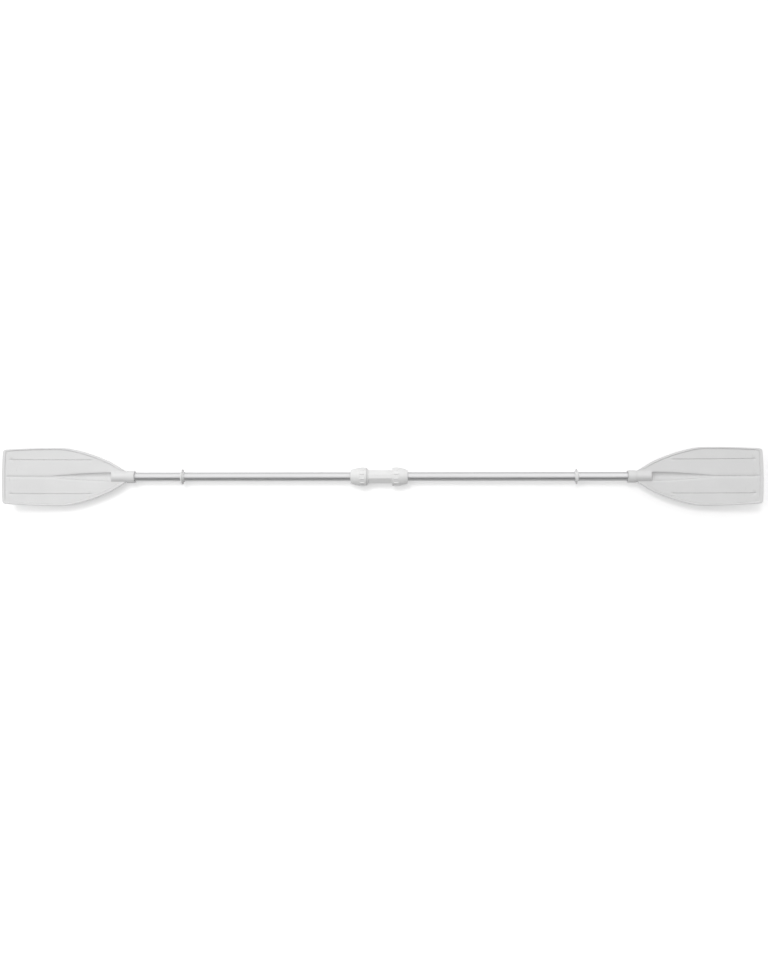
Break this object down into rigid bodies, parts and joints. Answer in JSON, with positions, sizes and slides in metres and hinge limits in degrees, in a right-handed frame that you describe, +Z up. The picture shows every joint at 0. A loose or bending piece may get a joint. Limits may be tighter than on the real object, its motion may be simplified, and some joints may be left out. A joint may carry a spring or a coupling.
{
  "type": "oar",
  "caption": "Double-bladed take-apart oar with ribbed spoon blades on aluminium tubes, a central screw coupling with turning nuts, and sliding drip rings.",
  "frame": {"origin": "under the middle of the coupling, on the surface that its nuts stand on", "axes": "+X along the shaft to the right-hand half, +Z up out of the blades' front faces, +Y across the blades"},
  "size_m": [2.18, 0.1684, 0.0649],
  "materials": {
    "white_plastic": "satin moulded polypropylene",
    "soft_plastic": "soft satin plastic",
    "acetal": "smooth turned acetal",
    "plug_plastic": "moulded polyethylene",
    "satin_aluminium": "satin anodised drawn tube",
    "rivet_aluminium": "plain",
    "black_rubber": "matt"
  },
  "bodies": {
    "coupler": {"coupler_body": "white_plastic"},
    "right_gland": {"right_packing_bush": "acetal", "right_grip_ring": "acetal"},
    "right_nut": {"right_coupler_nut": "white_plastic"},
    "right_seal": {"right_seal_ring": "black_rubber"},
    "right_shaft": {"right_shaft_tube": "satin_aluminium", "right_inner_plug": "plug_plastic", "right_outer_plug": "plug_plastic", "right_blade_collar": "white_plastic", "right_blade": "white_plastic", "right_blade_rivet": "rivet_aluminium"},
    "right_drip": {"right_drip_ring": "soft_plastic"},
    "left_gland": {"left_packing_bush": "acetal", "left_grip_ring": "acetal"},
    "left_nut": {"left_coupler_nut": "white_plastic"},
    "left_seal": {"left_seal_ring": "black_rubber"},
    "left_shaft": {"left_shaft_tube": "satin_aluminium", "left_inner_plug": "plug_plastic", "left_outer_plug": "plug_plastic", "left_blade_collar": "white_plastic", "left_blade": "white_plastic", "left_blade_rivet": "rivet_aluminium"},
    "left_drip": {"left_drip_ring": "soft_plastic"}
  },
  "joints": [
    {"name": "right_gland_travel", "type": "slide", "parent": "coupler", "child": "right_gland", "axis": [1, 0, 0], "range_m": [0, 0.0091]},
    {"name": "right_nut_turn", "type": "hinge", "parent": "right_gland", "child": "right_nut", "pos_m": [0.0573, 0, 0.0276], "axis": [1, 0, 0], "range_deg": [0, 810]},
    {"name": "right_feather", "type": "hinge", "parent": "coupler", "child": "right_seal", "pos_m": [0.0521, 0, 0.0276], "axis": [1, 0, 0], "continuous": true},
    {"name": "right_pull_out", "type": "slide", "parent": "right_seal", "child": "right_shaft", "axis": [1, 0, 0], "range_m": [0, 0.095]},
    {"name": "right_drip_slide", "type": "slide", "parent": "right_shaft", "child": "right_drip", "axis": [1, 0, 0], "range_m": [-0.46, 0.14]},
    {"name": "left_gland_travel", "type": "slide", "parent": "coupler", "child": "left_gland", "axis": [-1, 0, 0], "range_m": [-0.005, 0.0041]},
    {"name": "left_nut_turn", "type": "hinge", "parent": "left_gland", "child": "left_nut", "pos_m": [-0.0623, 0, 0.0276], "axis": [-1, 0, 0], "range_deg": [-449, 360]},
    {"name": "left_feather", "type": "hinge", "parent": "coupler", "child": "left_seal", "pos_m": [-0.0521, 0, 0.0276], "axis": [-1, 0, 0], "continuous": true},
    {"name": "left_pull_out", "type": "slide", "parent": "left_seal", "child": "left_shaft", "axis": [-1, 0, 0], "range_m": [0, 0.095]},
    {"name": "left_drip_slide", "type": "slide", "parent": "left_shaft", "child": "left_drip", "axis": [-1, 0, 0], "range_m": [-0.47, 0.132]}
  ],
  "couplings": [
    {"joint": "right_gland_travel", "follows": "right_nut_turn", "m_per_rad": 0.00063662},
    {"joint": "left_gland_travel", "follows": "left_nut_turn", "m_per_rad": 0.00063662}
  ]
}
